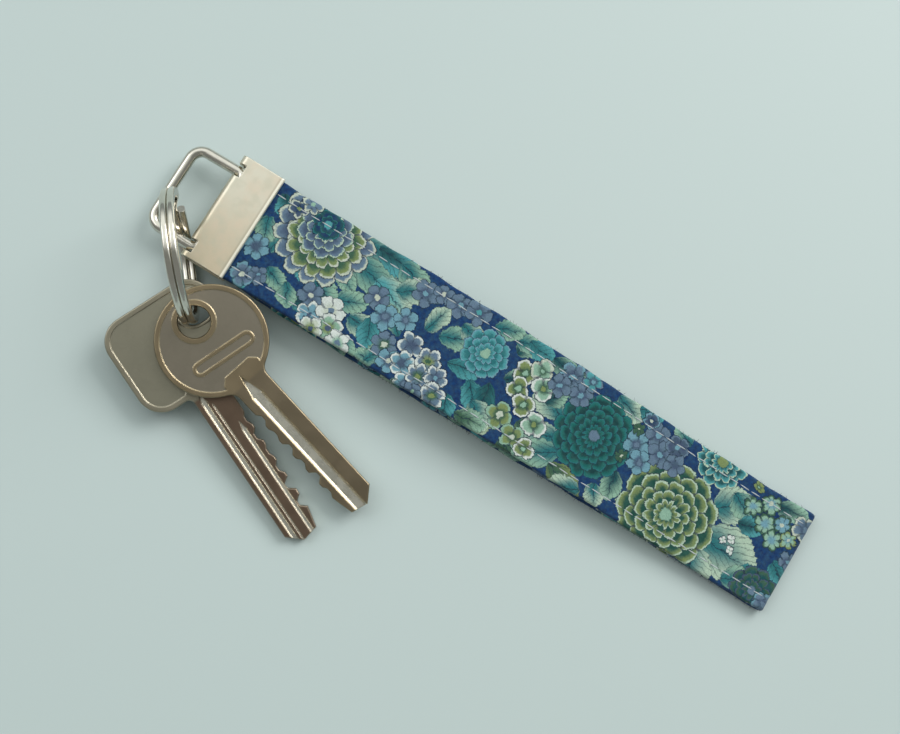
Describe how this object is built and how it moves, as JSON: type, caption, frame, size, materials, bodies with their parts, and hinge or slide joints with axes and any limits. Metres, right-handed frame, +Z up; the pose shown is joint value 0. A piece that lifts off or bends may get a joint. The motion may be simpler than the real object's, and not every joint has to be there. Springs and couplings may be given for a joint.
{
  "type": "wristlet keychain",
  "caption": "Doubled cloth wrist strap in a folded metal clamp whose hinged wire loop carries a split ring with a round-bow key and a square-bow key.",
  "frame": {"origin": "on the table under the middle of the strap's visible length, at the centre of the flat underside it rests on", "axes": "+X along the strap from the clamp to the far fold, +Y across the strap away from the keys, +Z up"},
  "size_m": [0.1607, 0.0653, 0.0289],
  "materials": {
    "cotton_print": "dense flower print in blues, teals, greens and lilac on navy plain-weave cotton",
    "interfacing": "stiff undyed interfacing",
    "stitching": "pale grey polyester sewing thread",
    "clamp_nickel": "satin nickel plate, slightly warm",
    "wire_nickel": "polished nickel plate",
    "ring_nickel": "polished nickel plate with rubbed coils",
    "round_key_metal": "nickel silver worn to a brassy edge, satin bow",
    "square_key_metal": "nickel silver, satin bow and bright milled grooves"
  },
  "bodies": {
    "strap": {"strap_fabric": "cotton_print", "strap_core": "interfacing", "top_thread_left": "stitching", "top_thread_right": "stitching", "bobbin_thread_left": "stitching", "bobbin_thread_right": "stitching", "clamp": "clamp_nickel"},
    "loop": {"wire_loop": "wire_nickel"},
    "ring": {"split_ring": "ring_nickel"},
    "round_key": {"key_round": "round_key_metal"},
    "square_key": {"key_square": "square_key_metal"}
  },
  "joints": [
    {"name": "loop_hinge", "type": "hinge", "parent": "strap", "child": "loop", "pos_m": [-0.07785, -0.00035, 0.00565], "axis": [0, 1, 0], "range_deg": [-12, 6]},
    {"name": "ring_swing", "type": "hinge", "parent": "loop", "child": "ring", "pos_m": [-0.08393, -0.01, 0.0049], "axis": [0.9925, 0, 0.1219], "range_deg": [-58, 16]},
    {"name": "round_key_turn", "type": "hinge", "parent": "ring", "child": "round_key", "pos_m": [-0.0695, -0.0237, 0.00785], "axis": [0.0754, -0.0344, 0.9966], "range_deg": [-90, 0]},
    {"name": "square_key_turn", "type": "hinge", "parent": "ring", "child": "square_key", "pos_m": [-0.07168, -0.02143, 0.00564], "axis": [0.0754, -0.0344, 0.9966], "range_deg": [-60, 28]}
  ]
}
